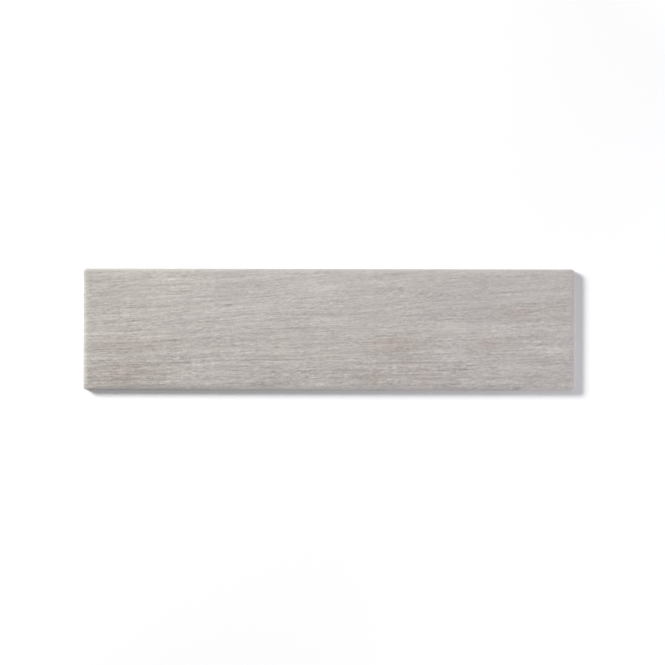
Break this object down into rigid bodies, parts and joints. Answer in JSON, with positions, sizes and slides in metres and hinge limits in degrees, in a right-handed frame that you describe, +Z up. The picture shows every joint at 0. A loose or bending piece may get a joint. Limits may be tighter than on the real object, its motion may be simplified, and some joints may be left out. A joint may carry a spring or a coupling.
{
  "type": "floor tile",
  "caption": "Plank-shaped porcelain floor tile with a weathered wood-grain face, softly rolled edges and a keyed waffle back for bedding adhesive.",
  "frame": {"origin": "centre of the back, on the plane that the tile lies on", "axes": "+X along the tile's length, +Y across its width, +Z up out of the face"},
  "size_m": [0.598, 0.148, 0.009],
  "materials": {
    "porcelain": "matt, printed and pressed with a grey-beige wood grain; bare fired body on the sides and back"
  },
  "bodies": {
    "root": {"floor_tile": "porcelain"}
  },
  "joints": []
}
